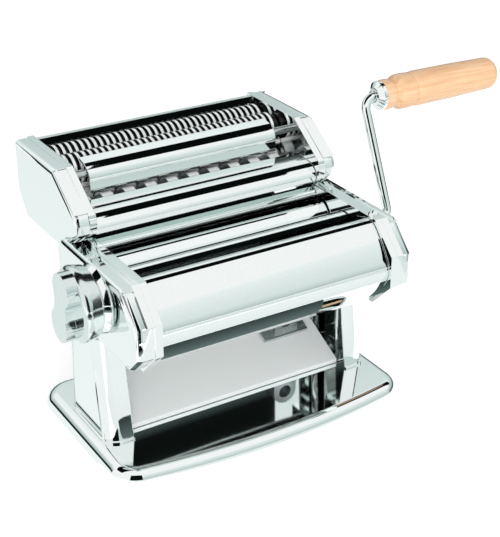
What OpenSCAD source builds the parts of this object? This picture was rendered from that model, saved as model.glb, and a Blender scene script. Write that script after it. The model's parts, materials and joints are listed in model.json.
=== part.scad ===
// Hand cranked pasta machine: sheet rollers on a chromed stand, with a slide-on double noodle cutter.
// X runs along the rollers with the crank at +X, the front is -Y, and Z is up from the table.

/* [Body] */
// Clear width between the side plates, where the dough runs
bay_w = 153; // [130:1:180]
// Thickness of each side plate, the bright rim beside the rollers
plate_t = 4.5; // [4:0.5:6]
// Width of each end casing outside its side plate
casing_w = 12; // [12:0.5:16]
// Thickness of the sheet metal
sheet_t = 1.2; // [0.8:0.1:1.4]
// Gap left between sheet parts that only sit beside each other
fit_gap = 0.3; // [0.2:0.05:0.5]

/* [Rollers] */
// Diameter of the two smooth rollers
roller_d = 27; // [25:0.5:30]
// Gap between the rollers at the finest setting
roller_gap = 0.6; // [0.4:0.1:1.5]
// How far the rear roller moves away at the widest setting
gap_travel = 2.2; // [1:0.1:2.4]
// Front roller's axis, measured from the middle of the base
roller_y = -16; // [-20:0.5:-12]
// Diameter of the roller journals
journal_d = 12; // [11:0.5:13]
// Wall of the bearing bushes
bush_t = 2; // [1.5:0.1:2.5]
// Teeth on each roller gear
gear_teeth = 16; // [14:2:20]
// Face width of the roller gears
gear_w = 5; // [4:0.5:5.5]

/* [Housing] */
// From the rollers' top up to the top of the side plates
top_margin = 6.5; // [5:0.5:10]
// From the front roller's surface to the front of the side plates
front_margin = 35.5; // [32:0.5:40]
// From the rear roller's surface to the back of the side plates
rear_margin = 13; // [11:0.5:18]
// From the rollers' axes down to the bottom of the side plates
roller_rise = 35; // [33:0.5:42]
// Bevel at the top of the side plates' front
top_bevel = 18; // [14:0.5:20]
// Bevel at the bottom of the side plates' front
low_bevel = 17; // [14:0.5:20]
// Slope of the seat that carries the cutter
seat_angle = 36; // [33:1:39]
// How far the front cover sits back from the side plates' front
cover_recess = 3.3; // [2:0.1:5]
// Radius of the front cover's nose
nose_r = 12; // [8:0.5:15]
// Slope of the front cover's upper and lower faces
cover_slope = 50; // [46:1:54]

/* [Stand] */
// Width of the base
base_w = 203; // [196:1:240]
// Depth of the base, from its bowed front to its back
base_d = 128; // [116:1:150]
// Height of the base
base_h = 9.5; // [8:0.5:14]
// Radius of the base's rolled top edge
base_edge_r = 7.5; // [4:0.5:7.5]
// Radius of the base's corners
base_corner_r = 18; // [12:1:24]
// Radius of the base's bowed front edge
base_bow_r = 500; // [350:10:900]
// Height of the legs below the side plates
leg_h = 60.5; // [50:0.5:80]
// Depth of each leg where it stands on the base
leg_d = 55; // [50:1:64]
// Middle of the legs' feet, measured from the middle of the base
leg_y = 5; // [0:0.5:8]
// Lean of the legs' front face
leg_front_lean = 9; // [4:0.5:10]
// Lean of the legs' back face
leg_back_lean = 3; // [0:0.5:5]
// Outer bend radius of the legs
leg_r = 9.5; // [6:0.5:11]
// Slope of the ramp that the rolled sheet slides down
ramp_slope = 26.5; // [20:0.5:29]
// Height of the ramp's front lip
ramp_lip = 3; // [2:0.5:8]
// How far the ramp's lip stands behind the front of the legs
ramp_inset = 9; // [4:0.5:14]

/* [Knob] */
// Diameter of the thickness knob
knob_d = 45; // [40:0.5:50]
// Height of the knob's round skirt
knob_skirt = 11; // [10:0.5:14]
// Height of the raised grip bar on the knob
knob_bar = 6; // [4:0.5:9]
// Diameter of the raised boss behind the knob
boss_d = 42; // [36:0.5:46]
// Height of the boss
boss_h = 4.5; // [3:0.5:6]
// Diameter of the knob's spindle
spindle_d = 10; // [9:0.5:11]
// Pull that frees the knob to turn
knob_pull = 4; // [2:0.5:5]
// Turn of the knob from the finest to the widest setting
knob_turn = 150; // [120:5:180]

/* [Crank] */
// Diameter of the crank rod
rod_d = 6; // [5:0.5:7]
// Distance from the crank's axis to the grip's axis
crank_r = 77.5; // [60:0.5:90]
// Distance of the crank's arm from the end casing
arm_out = 18.5; // [17:0.5:28]
// Bend radius of the crank rod
rod_bend = 8; // [6.5:0.5:9.5]
// Angle of the crank's arm, leaning back from upright
crank_angle = 24.4; // [0:0.2:60]
// Length of the wooden grip
grip_len = 96; // [80:1:115]
// Diameter of the grip at its thick end
grip_d = 22.6; // [19:0.2:27]
// Depth of the crank's sockets
socket_deep = 12; // [10:0.5:14]

/* [Cutter] */
// Diameter over the cutting lands
cut_d = 19.2; // [18.4:0.2:20]
// Depth that the lands of a pair reach into each other
cut_mesh = 1; // [0.6:0.1:1.4]
// Depth of the grooves between the lands
cut_groove = 2; // [1.8:0.1:2.4]
// Lands on each narrow roller
narrow_count = 35; // [25:1:38]
// Lands on each wide roller
wide_count = 10; // [6:1:14]
// Side clearance between a land and its groove
cut_clear = 0.2; // [0.15:0.05:0.3]
// Diameter of the cutting rollers' journals
cut_journal_d = 10; // [9.5:0.5:10.5]
// Teeth on each cutter gear
cut_teeth = 12; // [12:1:16]
// Place of the front wide roller along the seat
cut_along = 19.2; // [18:0.2:24]
// Slope of the caps' front face
cap_slope = 35; // [32:1:40]
// Width of the middle guide
middle_w = 130; // [100:1:140]

/* [Hidden] */
$fn = 96;
run_gap = 0.05;
hole_gap = fit_gap / 2;
press_gap = 0.02;

// Widths, from the middle outwards
plate_in = bay_w / 2;
plate_out = plate_in + plate_t;
body_half = plate_out + casing_w;
cap_half = body_half - 3;
ridge_in = cap_half + 0.5;
sheet_half = plate_in - fit_gap;

// Heights and depths of the housing
plate_low = base_h + leg_h;
roller_z = plate_low + roller_rise;
roller_r = roller_d / 2;
rear_y = roller_y + roller_d + roller_gap;
plate_top = roller_z + roller_r + top_margin;
plate_front = roller_y - roller_r - front_margin;
plate_back = rear_y + roller_r + rear_margin;
casing_low = plate_low + 6;
casing_top = plate_top - 0.8;
casing_step = 1;
casing_edge = 4;

// Size of a casing's cut top back corner, and thickness of its wall
casing_chamfer = 7;
casing_wall = sheet_t + 0.2;

// Roller gears, and the floor of the grooves that guide the cutter
gear_pitch_r = (roller_d + roller_gap) / 2;
tooth_play = 0.12;
pressure_angle = 20;
gear_add = 1.3;
gear_ded = 1.7;
gear_in = plate_out + 4;
groove_floor = roller_z + gear_pitch_r + gear_add + 0.7 + sheet_t;
groove_front = plate_front + top_bevel - 2;

// The sloping seat: a plane at this distance from the rear roller's axis
seat_dir = [cos(seat_angle), -sin(seat_angle)];
seat_up = [sin(seat_angle), cos(seat_angle)];
seat_off = gear_pitch_r + gear_add + gap_travel * sin(seat_angle) + sheet_t + 3.1;
seat_y = rear_y + (seat_off - (plate_top - roller_z) * cos(seat_angle)) / sin(seat_angle);
seat = [seat_y, plate_top];
function seat_at(along, up) = seat + along * seat_dir + up * seat_up;
function seat_z(y) = plate_top - (y - seat_y) * tan(seat_angle);

// The groove that the cutter's cap slides in, along the casing's top and down its back
casing_front = plate_front + casing_step;
casing_back = plate_back - casing_step;
groove_turn = seat_y + (plate_top - groove_floor) / tan(seat_angle);
groove_path = [[groove_front, groove_floor], [groove_turn, groove_floor],
    [casing_back, seat_z(casing_back)]];

// Journals and bushes
journal_r = journal_d / 2;
bush_r = journal_r + run_gap + bush_t;
bearing_t = 3;
bearing_in = plate_out + 0.4;
bearing_out = bearing_in + bearing_t;
bar_r = 2.5;
bar_at = [rear_y + 14.4, roller_z - 19];
front_rod_at = [roller_y - 14.4, roller_z - 19];
back_rod_at = [plate_back - 6.6, roller_z - 6];
tie_r = 3;
tie_head_r = tie_r + 2;
tie_head_h = 2;
cam_r = 11;
cam_w = 4;
cam_steps = 60;
cam_in = bearing_out + 0.6;
pin_r = 2.5;
arm_h = 6;
cam_pin_y = roller_y + cam_r + fit_gap + pin_r;

// Scraper blades
blade_t = 1.4;
clip_t = 1.6;
scraper_half = sheet_half - 2;

// The front cover's bent sheet
nose_z = (plate_low + low_bevel + plate_top - top_bevel) / 2;
nose_c = [plate_front + cover_recess + nose_r, nose_z];
nose_rod_at = [plate_front + 17, nose_z];
tie_at = [front_rod_at, nose_rod_at, back_rod_at];
cover_rise = plate_top - 2.5;
cover_fall = plate_low + 1.7;
cover_up = nose_c + nose_r * [-sin(cover_slope), cos(cover_slope)];
cover_down = nose_c + nose_r * [-sin(cover_slope), -cos(cover_slope)];
cover_top = cover_up + (cover_rise - cover_up[1]) / tan(cover_slope) * [1, tan(cover_slope)];
cover_low = cover_down + (cover_down[1] - cover_fall) / tan(cover_slope) * [1, -tan(cover_slope)];
guide_end = [roller_y - roller_r + 0.5, roller_z + roller_r + 0.3];

// The rear cover's bent sheet, from its lip over the rear roller to its foot
rear_lip = [rear_y - 6.4, plate_top - 0.4];
rear_wall = plate_back - 1;
rear_foot = 12;
rear_path = [rear_lip, [seat_y - 0.6, rear_lip[1]], [rear_wall, seat_z(rear_wall) - 0.6],
    [rear_wall, plate_low + rear_foot], [plate_back - rear_foot, plate_low]];

// Legs
leg_front = leg_y - leg_d / 2;
leg_back = leg_y + leg_d / 2;
leg_top = casing_low;
leg_lip = 1.5;
function leg_front_at(z) = leg_front + (z - base_h) * tan(leg_front_lean);
function leg_back_at(z) = leg_back - (z - base_h) * tan(leg_back_lean);
leg_stub = 6;
leg_spare = 4;
leg_tab_y = [-6, 20];
leg_tab_z = plate_low + 2.4;
leg_tab_end = 6;

// Screws, and where they hold the legs and feet to the base
screw_r = 1.5;
screw_head_r = 3;
screw_head_h = 1.6;
screw_grip = 3;
leg_screw_y = [leg_front + 14, leg_back - 14];
leg_screw_x = plate_in + 6;
foot_x = base_w / 2 - base_corner_r;
foot_back = base_d / 2 - base_corner_r - 2;
foot_front = 8 - foot_back;
foot_r = 7;

// The ramp between the legs
ramp_front = leg_front + ramp_inset;
ramp_back = leg_back - 3;
ramp_start = [ramp_front, base_h + ramp_lip];
ramp_end = ramp_start + (ramp_back - ramp_front) * [1, tan(ramp_slope)];
function ramp_z(y) = ramp_start[1] + (y - ramp_front) * tan(ramp_slope);

// The lug on the ramp that takes the table clamp's pin
lug_x = 52;
lug_r = 8.5;
lug_len = 18;
lug_bore_r = 4.6;
lug_bore_len = 12;
lug_wall = 1.6;
lug_flange = 2.4;
lug_flange_end = 8;
lug_front = ramp_back - lug_len - 1;
lug_back = lug_front + lug_len;
lug_z = ramp_z(lug_front + lug_bore_len) + lug_bore_r + lug_wall;
lug_screw_x = [lug_x - lug_r - lug_flange_end / 2, lug_x + lug_r + lug_flange_end / 2];
lug_screw_y = lug_front + lug_len / 2;
lug_screw_len = 10;

// Cutter: a wide pair and, above and behind it, a narrow pair of rollers
cut_r = cut_d / 2;
cut_cc = cut_d - cut_mesh;
cut_end = plate_in - 1;
cut_lands = plate_in - 3;
cut_journal_r = cut_journal_d / 2;
cut_bush_r = cut_journal_r + run_gap + 1.6;
cut_gear_add = 1;
cut_gear_ded = 1.3;
cut_gear_in = plate_out + 1;
cut_gear_w = 4;
cap_step = 0.6;
wide_front = seat_at(cut_along, cut_r + 9.3);
wide_back = wide_front + [cut_cc, 0];
narrow_front = wide_back + [1.8, cut_d + 0.8];
narrow_back = narrow_front + [cut_cc, 0];
cap_top = narrow_front[1] + cut_r + 2.9;
cap_back = narrow_back[0] + cut_r + 6.2;
cap_low = wide_front[1] - cut_r - 6.4;
cap_brow = seat + [-5.7, 16.4];
cap_nose = seat + [-7.3, 11];
cap_chin = [cap_nose[0] + 1.6, seat_z(cap_nose[0] + 1.6) + fit_gap / cos(seat_angle)];
cap_heel = [seat_y + (plate_top + fit_gap / cos(seat_angle) - cap_low) / tan(seat_angle), cap_low];
cap_shoulder = [cap_brow[0] + (cap_top - cap_brow[1]) / tan(cap_slope), cap_top];
cap_lip = 1;
cap_edge = 3;
cap_hole_r = cut_journal_r + fit_gap;
cut_axes = [narrow_front, narrow_back, wide_front, wide_back];
cut_rod_r = 2.5;
cut_gear_out = cut_gear_in + cut_gear_w;
drive_end = cap_half + 1;
cap_profile = [cap_chin, cap_heel, [cap_back - 12, cap_low], [cap_back, cap_low + 16], [cap_back, cap_top],
    cap_shoulder, cap_brow, cap_nose];

// Guides: the front one leads to the wide pair, and the middle and rear ones to the narrow pair
front_guide_path = [wide_front + [-7.4, 10.2], seat + [4.9, 13.4], seat + [0.4, 12.2], seat + [-3, 9.6],
    seat + [-4.5, 6.4], seat + [-3.4, 2.6], seat_at(22, 2)];
middle_back = narrow_front + [-6.4, 9.1];
middle_top = narrow_front[1] + 8.2;
middle_front = wide_front[0] - 0.9;
middle_low = wide_front[1] + cut_r + 1.9;
middle_r = 10;
rear_wall_y = narrow_back[0] + cut_r - 1.1;
rear_guide_path = [[rear_wall_y, cap_top - 5], [rear_wall_y, cap_top - 0.1], [cap_back - 4.4, cap_top - 0.1],
    [cap_back - 2.3, cap_top - 1.6], [cap_back - 1.5, cap_top - 6], [cap_back - 1.5, cap_low + 17],
    [cap_back - 10, cap_low + 5]];
cut_rod_at = [seat + [6, 8], [cap_back - 6.5, cap_low + 20],
    [middle_front + 5.8, middle_top - 5.9]];
hanger_in = 8;
hanger_t = 4;
hanger_r = cut_rod_r + 1.5;

// Knob and crank places along X
knob_in = body_half + boss_h + fit_gap;
knob_face = knob_in + knob_skirt;
spindle_end = knob_in + knob_skirt - 1.5;
spindle_head = 1.6;
knob_bore = 8.8;
knob_floor = 1.2;
knob_round = 4;
knob_stop = spindle_end - spindle_head - knob_pull - 0.9;
knob_head_r = knob_d * 0.23;
knob_waist = knob_d * 0.31;
knob_hollow = knob_d * 0.4;
knob_bar_turn = 12;
boss_bevel = 2;
shaft_end = body_half + 1;
socket_r = rod_d / 2 + 0.1;
tang_t = 2;
tang_len = 2.4;
tang_room = 3;
arm_x = body_half + arm_out;
grip_at = [roller_y + crank_r * sin(crank_angle), roller_z + crank_r * cos(crank_angle)];
grip_in = arm_x + rod_bend;
grip_hole = rod_d / 2 + run_gap + 0.05;
ferrule_len = 5;
grip_bead = 23;
rod_back = 14;
rivet_h = 1.5;
rivet_step = 1.2;

// Side view of the side plates and casings, counter-clockwise in Y and Z
plate_profile = [[plate_front + low_bevel, plate_low], [plate_back, plate_low],
    [plate_back, seat_z(plate_back)], seat, [plate_front + top_bevel, plate_top],
    [plate_front, plate_top - top_bevel], [plate_front, plate_low + low_bevel]];
casing_profile = [[casing_front + low_bevel - (casing_low - plate_low), casing_low],
    [casing_back, casing_low], [casing_back, casing_top - casing_chamfer],
    [casing_back - casing_chamfer, casing_top], [casing_front + top_bevel, casing_top],
    [casing_front, casing_top - top_bevel], [casing_front, plate_low + low_bevel]];

// Points of an arc about c
function arc(c, r, a, b, n) = [for (i = [0 : n])
    let (t = a + (b - a) * i / n) c + r * [cos(t), sin(t)]];
function unit(v) = v / norm(v);
function left(v) = [-v[1], v[0]];
// Joint of two sheet normals, so that a bent sheet keeps its thickness
function joint(a, b) = (a + b) / (1 + a * b);
function side(p, i) = left(unit(p[i + 1] - p[i]));
function beside(p, i, t) = p[i] + t * (i == 0 ? side(p, 0)
    : i == len(p) - 1 ? side(p, i - 1) : joint(side(p, i - 1), side(p, i)));
// Outline of a bent sheet that follows the open path p, with its thickness t on the left
function bent(p, t) = concat(p, [for (i = [len(p) - 1 : -1 : 0]) beside(p, i, t)]);
// Closed outline moved inwards by d
function inset(p, d) = [for (i = [0 : len(p) - 1])
    let (n = len(p), a = p[(i + n - 1) % n], b = p[(i + 1) % n])
    p[i] + d * joint(left(unit(p[i] - a)), left(unit(b - p[i])))];

// A side view in Y and Z, extruded from x0 to x1
module across(x0, x1) {
    translate([x0, 0, 0]) rotate([90, 0, 90]) linear_extrude(x1 - x0) children();
}
module bar(x0, x1, at, r) {
    translate([x0, at[0], at[1]]) rotate([0, 90, 0]) cylinder(h = x1 - x0, r = r);
}
// A solid turned about an X axis through at, from a profile of [radius, x]
module turned(at) {
    translate([0, at[0], at[1]]) rotate([0, 90, 0]) rotate_extrude() children();
}
module mirrored() {
    mirror([1, 0, 0]) children();
}
module both() {
    children();
    mirrored() children();
}
// Side view of a slot that runs along Y
module slot_view(at, r, run) {
    translate(at) circle(r);
    translate(at + [run, 0]) circle(r);
    translate(at + [0, -r]) square([run, 2 * r]);
}
// Half the angle of an involute tooth at radius r, with a little play on each flank
function roll(a) = tan(a) * 180 / PI - a;
function flank(teeth, pitch_r, r) =
    let (base = pitch_r * cos(pressure_angle), a = acos(base / max(r, base)))
    90 / teeth - tooth_play / pitch_r * 180 / PI + roll(pressure_angle) - roll(a);
module gear_view(teeth, pitch_r, add, ded, bore_r, turn) {
    root = pitch_r - ded;
    start = max(root, pitch_r * cos(pressure_angle));
    steps = 3;
    radii = concat([root], [for (i = [0 : steps]) start + (pitch_r + add - start) * i / steps]);
    last = len(radii) - 1;
    difference() {
        polygon([for (i = [0 : teeth - 1], s = [-1, 1], k = [0 : last])
            let (r = radii[s < 0 ? k : last - k], a = turn + 360 * i / teeth + s * flank(teeth, pitch_r, r))
            r * [cos(a), sin(a)]]);
        circle(bore_r);
    }
}
module screw(head_r, head_h, r, length) {
    cylinder(h = length, r = r);
    translate([0, 0, -head_h]) cylinder(h = head_h, r = head_r);
}

// Edge of the tray seen from the side: w wide, top high, with a rolled upper edge
module edge_view(w, top, edge) {
    polygon(concat([[0, 0], [w, 0]], arc([w - edge, top - edge], edge, 0, 90, 8), [[0, top]]));
}
// Solid form of the base, pulled in by d: flat sides and back, bowed front, round corners
module base_form(d, top) {
    edge = base_edge_r - d;
    corner_x = base_w / 2 - base_corner_r;
    bow_y = base_bow_r - base_d / 2;
    inner_r = base_bow_r - base_corner_r;
    bow_a = asin(corner_x / inner_r);
    front_y = bow_y - inner_r * cos(bow_a);
    back_y = base_d / 2 - base_corner_r;
    hull() {
        for (x = [-corner_x, corner_x], y = [front_y, back_y])
            translate([x, y, 0]) rotate_extrude($fn = 64) edge_view(base_corner_r - d, top, edge);
        translate([0, bow_y, 0]) rotate([0, 0, -90 - bow_a]) rotate_extrude(angle = 2 * bow_a, $fn = 360)
            translate([inner_r, 0]) edge_view(base_corner_r - d, top, edge);
    }
}
module base_plate() color("silver") difference() {
    base_form(0, base_h);
    translate([0, 0, -1]) base_form(sheet_t, base_h - sheet_t + 1);
    for (x = [-1, 1], y = leg_screw_y)
        translate([x * leg_screw_x, y, 0]) cylinder(h = base_h + 1, r = screw_r + hole_gap);
}
module feet() color("black") {
    for (x = [-foot_x, foot_x], y = [foot_front, foot_back])
        translate([x, y, 0]) cylinder(h = base_h - sheet_t, r = foot_r);
}
module leg_screws() color("gray") {
    for (x = [-1, 1], y = leg_screw_y)
        translate([x * leg_screw_x, y, base_h - sheet_t])
            screw(screw_head_r, screw_head_h, screw_r, sheet_t * 2 + screw_grip);
}
// Plan of one bent edge of a leg: a flange, a round corner and a stub of the side wall
module leg_edge_view(out, wall) {
    c = body_half - leg_r;
    translate([plate_in, -out]) square([c - plate_in, wall]);
    translate([body_half + out - wall, leg_r]) square([wall, leg_stub]);
    translate([c, leg_r]) difference() {
        intersection() {
            circle(leg_r + out);
            translate([0, -leg_r - out]) square(leg_r + out);
        }
        circle(leg_r + out - wall);
    }
}
module leg_edge(front, lean) {
    translate([0, front, base_h]) rotate([-lean, 0, 0]) translate([0, 0, -leg_spare])
        linear_extrude(leg_top - base_h + 2 * leg_spare) leg_edge_view(0, sheet_t);
}
module leg() {
    tab_len = leg_tab_y[1] - leg_tab_y[0] + 2 * leg_tab_end;
    difference() {
        intersection() {
            translate([0, -base_d, base_h]) cube([2 * body_half, 2 * base_d, leg_top - base_h]);
            union() {
                across(body_half - sheet_t, body_half) polygon([[leg_front + leg_r, base_h],
                    [leg_back - leg_r, base_h], [leg_back_at(leg_top) - leg_r, leg_top],
                    [leg_front_at(leg_top) + leg_r, leg_top]]);
                leg_edge(leg_front, leg_front_lean);
                mirror([0, 1, 0]) leg_edge(-leg_back, leg_back_lean);
            }
        }
        translate([plate_in - 1, -base_d, plate_low]) cube([plate_t + 1, 2 * base_d, 2 * casing_w]);
    }
    difference() {
        translate([0, 0, base_h]) linear_extrude(sheet_t) {
            translate([0, leg_front]) leg_edge_view(leg_lip, sheet_t + leg_lip);
            translate([0, leg_back]) mirror([0, 1]) leg_edge_view(leg_lip, sheet_t + leg_lip);
            translate([plate_in, leg_front + leg_r])
                square([casing_w + plate_t + leg_lip, leg_d - 2 * leg_r]);
        }
        for (y = leg_screw_y)
            translate([leg_screw_x, y, 0]) cylinder(h = leg_top, r = screw_r + hole_gap);
    }
    difference() {
        union() {
            translate([plate_out, leg_tab_y[0] - leg_tab_end, leg_top - sheet_t])
                cube([casing_w - sheet_t / 2, tab_len, sheet_t]);
            translate([plate_out, leg_tab_y[0] - leg_tab_end, plate_low])
                cube([sheet_t, tab_len, leg_top - plate_low]);
        }
        for (y = leg_tab_y)
            bar(plate_in, body_half - sheet_t, [y, leg_tab_z], screw_r + hole_gap);
    }
}
module right_leg() color("silver") leg();
module left_leg() color("silver") mirrored() leg();

module lug_holes() {
    for (x = lug_screw_x)
        translate([x, lug_screw_y, base_h]) cylinder(h = leg_h, r = screw_r + hole_gap);
}
module chute() color("silver") difference() {
    across(-sheet_half, sheet_half)
        polygon(bent([[ramp_back, base_h], ramp_end, ramp_start, [ramp_front, base_h + fit_gap]], sheet_t));
    lug_holes();
}
module clamp_lug() color("gray") difference() {
    foot = [[lug_front, ramp_z(lug_front)], [lug_back, ramp_z(lug_back)]];
    union() {
        across(lug_x - lug_r, lug_x + lug_r)
            polygon(concat(foot, [[lug_back, lug_z], [lug_front, lug_z]]));
        translate([lug_x, lug_front, lug_z]) rotate([-90, 0, 0]) linear_extrude(lug_len) intersection() {
            circle(lug_r);
            translate([-lug_r, -lug_r]) square([2 * lug_r, lug_r]);
        }
        across(lug_x - lug_r - lug_flange_end, lug_x + lug_r + lug_flange_end)
            polygon(bent(foot, lug_flange));
    }
    translate([lug_x, lug_front - 1, lug_z]) rotate([-90, 0, 0])
        cylinder(h = lug_bore_len + 1, r = lug_bore_r);
    lug_holes();
}
module lug_screws() color("gray") {
    top = ramp_z(lug_screw_y) + lug_flange / cos(ramp_slope) + screw_r;
    for (x = lug_screw_x)
        translate([x, lug_screw_y, top]) mirror([0, 0, 1])
            screw(screw_head_r, screw_head_h, screw_r, lug_screw_len);
}

module plate_holes() {
    translate([roller_y, roller_z]) circle(bush_r + run_gap);
    slot_view([rear_y, roller_z], bush_r + fit_gap, gap_travel);
    slot_view(bar_at, bar_r + fit_gap, gap_travel);
    for (p = tie_at)
        translate(p) circle(tie_r + run_gap);
}
module side_plate() difference() {
    across(plate_in, plate_out) difference() {
        polygon(plate_profile);
        plate_holes();
    }
    for (y = leg_tab_y)
        bar(plate_in - 1, plate_out + 1, [y, leg_tab_z], screw_r + hole_gap);
}
module right_side_plate() color("silver") side_plate();
module left_side_plate() color("silver") mirrored() side_plate();
module tie_rods() color("gray") {
    for (p = tie_at) {
        bar(-plate_out, plate_out, p, tie_r);
        both() bar(plate_out, plate_out + tie_head_h, p, tie_head_r);
    }
}
module frame_screws() color("gray") {
    both() for (y = leg_tab_y)
        translate([plate_out + sheet_t, y, leg_tab_z]) rotate([0, -90, 0])
            screw(screw_head_r - 0.8, screw_head_h, screw_r, sheet_t + plate_t - 0.5);
}

// Outer or inner form of an end casing, d inside its surface
module casing_form(d, end) {
    hull() {
        across(plate_out - (d > 0 ? 1 : 0), end - casing_edge) polygon(inset(casing_profile, d));
        across(plate_out, end - casing_edge * 0.3) polygon(inset(casing_profile, d + casing_edge * 0.3));
        across(plate_out, end) polygon(inset(casing_profile, d + casing_edge));
    }
}
module casing() {
    difference() {
        union() {
            difference() {
                casing_form(0, body_half);
                casing_form(casing_wall, body_half - casing_wall - 0.1);
                across(plate_out - 1, ridge_in) polygon(concat(groove_path,
                    [[plate_back + 4, seat_z(plate_back + 4)], [plate_back + 4, plate_top + 5],
                    [groove_front, plate_top + 5]]));
            }
            across(plate_out, ridge_in + 1)
                polygon(bent([groove_path[2], groove_path[1], groove_path[0]], sheet_t));
            across(plate_out, plate_out + casing_edge + 0.4)
                polygon([casing_profile[5], plate_profile[5] + [0, -1], plate_profile[5], plate_profile[4],
                    casing_profile[4]]);
        }
        across(plate_out - 1, plate_out + tie_head_h + 1) for (p = tie_at)
            translate(p) circle(tie_head_r + fit_gap);
    }
}
module right_casing() color("silver") difference() {
    casing();
    bar(plate_out, body_half + 1, [roller_y, roller_z], journal_r + fit_gap);
}
module left_casing() color("silver") mirrored() difference() {
    casing();
    bar(plate_out, body_half + 1, [roller_y, roller_z], spindle_d / 2 + fit_gap);
}
module front_cover() color("silver") {
    across(-sheet_half, sheet_half) polygon(bent(concat([cover_low],
        arc(nose_c, nose_r, 270 - cover_slope, 90 + cover_slope, 10), [cover_top, guide_end]), -sheet_t));
}
module rear_cover() color("silver") {
    across(-sheet_half, sheet_half) polygon(bent(rear_path, -sheet_t));
}
module roller_bushes() color("goldenrod") {
    both() difference() {
        bar(plate_in, plate_out, [roller_y, roller_z], bush_r);
        bar(plate_in - 1, plate_out + 1, [roller_y, roller_z], journal_r + run_gap);
    }
}
// A scraper blade that clips onto a rod and reaches up to a roller's underside
module scraper(rod_at, rod_r, axis, s) {
    tip = axis + (roller_r + fit_gap) * [s * cos(45), -sin(45)];
    foot = rod_at + (rod_r + clip_t / 2) * unit(tip - rod_at);
    n = blade_t / 2 * left(unit(tip - foot));
    across(-scraper_half, scraper_half) polygon([foot + n, foot - n, tip - n, tip + n]);
    difference() {
        bar(-scraper_half, scraper_half, rod_at, rod_r + clip_t);
        bar(-sheet_half, sheet_half, rod_at, rod_r + run_gap);
    }
}
module front_scraper() color("ivory") scraper(front_rod_at, tie_r, [roller_y, roller_z], -1);
module rear_scraper() color("ivory") scraper(bar_at, bar_r, [rear_y, roller_z], 1);

// Socket at the end of a driven shaft: a round bore with a slot at its floor for the crank's tang
module socket(end) {
    bar(end - socket_deep, end + 1, [0, 0], socket_r);
    translate([end - socket_deep - tang_room, -tang_t / 2 - 0.1, -socket_r])
        cube([tang_room + 1, tang_t + 0.2, 2 * socket_r]);
}
module smooth_roller(at, right_end, left_end) {
    bar(-plate_in + 0.8, plate_in - 0.8, at, roller_r);
    bar(-left_end, right_end, at, journal_r);
}
module front_roller() color("lightgray") difference() {
    smooth_roller([roller_y, roller_z], shaft_end, plate_out + 1.5);
    translate([0, roller_y, roller_z]) rotate([-crank_angle, 0, 0]) socket(shaft_end);
}
module rear_roller() color("lightgray") smooth_roller([rear_y, roller_z], gear_in + gear_w, bearing_out);
module drive_gear() color("gray") {
    translate([0, roller_y, roller_z]) across(gear_in, gear_in + gear_w)
        gear_view(gear_teeth, gear_pitch_r, gear_add, gear_ded, journal_r + press_gap, 0);
}
module driven_gear() color("gray") {
    translate([0, rear_y, roller_z]) across(gear_in, gear_in + gear_w)
        gear_view(gear_teeth, gear_pitch_r, gear_add, gear_ded, journal_r + press_gap,
            180 + 180 / gear_teeth);
}

// Side view of the plate that carries the rear roller, joined to the carriage bar
module bearing_view() {
    a = [rear_y, roller_z];
    n = left(unit(bar_at - a));
    difference() {
        union() {
            translate(a) circle(bush_r + 1.5);
            translate(bar_at) circle(bar_r + 2.5);
            polygon([a + 7 * n, a - 7 * n, bar_at - 4 * n, bar_at + 4 * n]);
        }
        translate(a) circle(journal_r + run_gap);
        translate(bar_at) circle(bar_r + press_gap);
    }
}
module bearing_plate() {
    across(bearing_in, bearing_out) bearing_view();
    difference() {
        bar(plate_in + 0.2, bearing_in + 1, [rear_y, roller_z], bush_r);
        bar(plate_in, bearing_out, [rear_y, roller_z], journal_r + run_gap);
    }
}
module right_bearing_plate() color("goldenrod") bearing_plate();
module left_bearing_plate() color("goldenrod") mirrored() {
    bearing_plate();
    translate([bearing_in, cam_pin_y, roller_z - arm_h / 2])
        cube([bearing_t, rear_y - journal_r - 1 - cam_pin_y, arm_h]);
    bar(bearing_in, bearing_out + cam_w + 1, [cam_pin_y, roller_z], pin_r);
}
module carriage_bar() color("gray") bar(-bearing_out, bearing_out, bar_at, bar_r);

// Snail cam: its radius grows with the angle away from the pin
function cam_radius(a) = cam_r + gap_travel * min(a, knob_turn) / knob_turn;
module gap_cam() color("gray") {
    translate([-cam_in - cam_w, roller_y, roller_z]) rotate([90, 0, 90]) linear_extrude(cam_w)
        polygon(concat([for (i = [0 : cam_steps]) let (a = i * (knob_turn + 6) / cam_steps)
            cam_radius(a) * [cos(a), sin(a)]], arc([0, 0], cam_r, knob_turn + 12, 360, 24)));
    bar(-spindle_end + 1, -cam_in - cam_w + 1, [roller_y, roller_z], spindle_d / 2);
    bar(-spindle_end, -spindle_end + spindle_head, [roller_y, roller_z], knob_bore - fit_gap);
}
module knob_boss() color("silver") {
    turned([roller_y, roller_z]) polygon([[spindle_d / 2 + fit_gap, -body_half], [boss_d / 2, -body_half],
        [boss_d / 2 - boss_bevel, -body_half - boss_h + 1],
        [boss_d / 2 - boss_bevel - 1.5, -body_half - boss_h],
        [spindle_d / 2 + fit_gap, -body_half - boss_h]]);
}
module knob_bar_view() {
    reach = knob_d / 2 - knob_head_r;
    for (s = [-1, 1])
        translate([0, s * reach]) circle(knob_head_r);
    difference() {
        translate([-knob_head_r, -reach]) square([2 * knob_head_r, 2 * reach]);
        for (s = [-1, 1])
            translate([s * (knob_waist / 2 + knob_hollow), 0]) circle(knob_hollow);
    }
}
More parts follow.
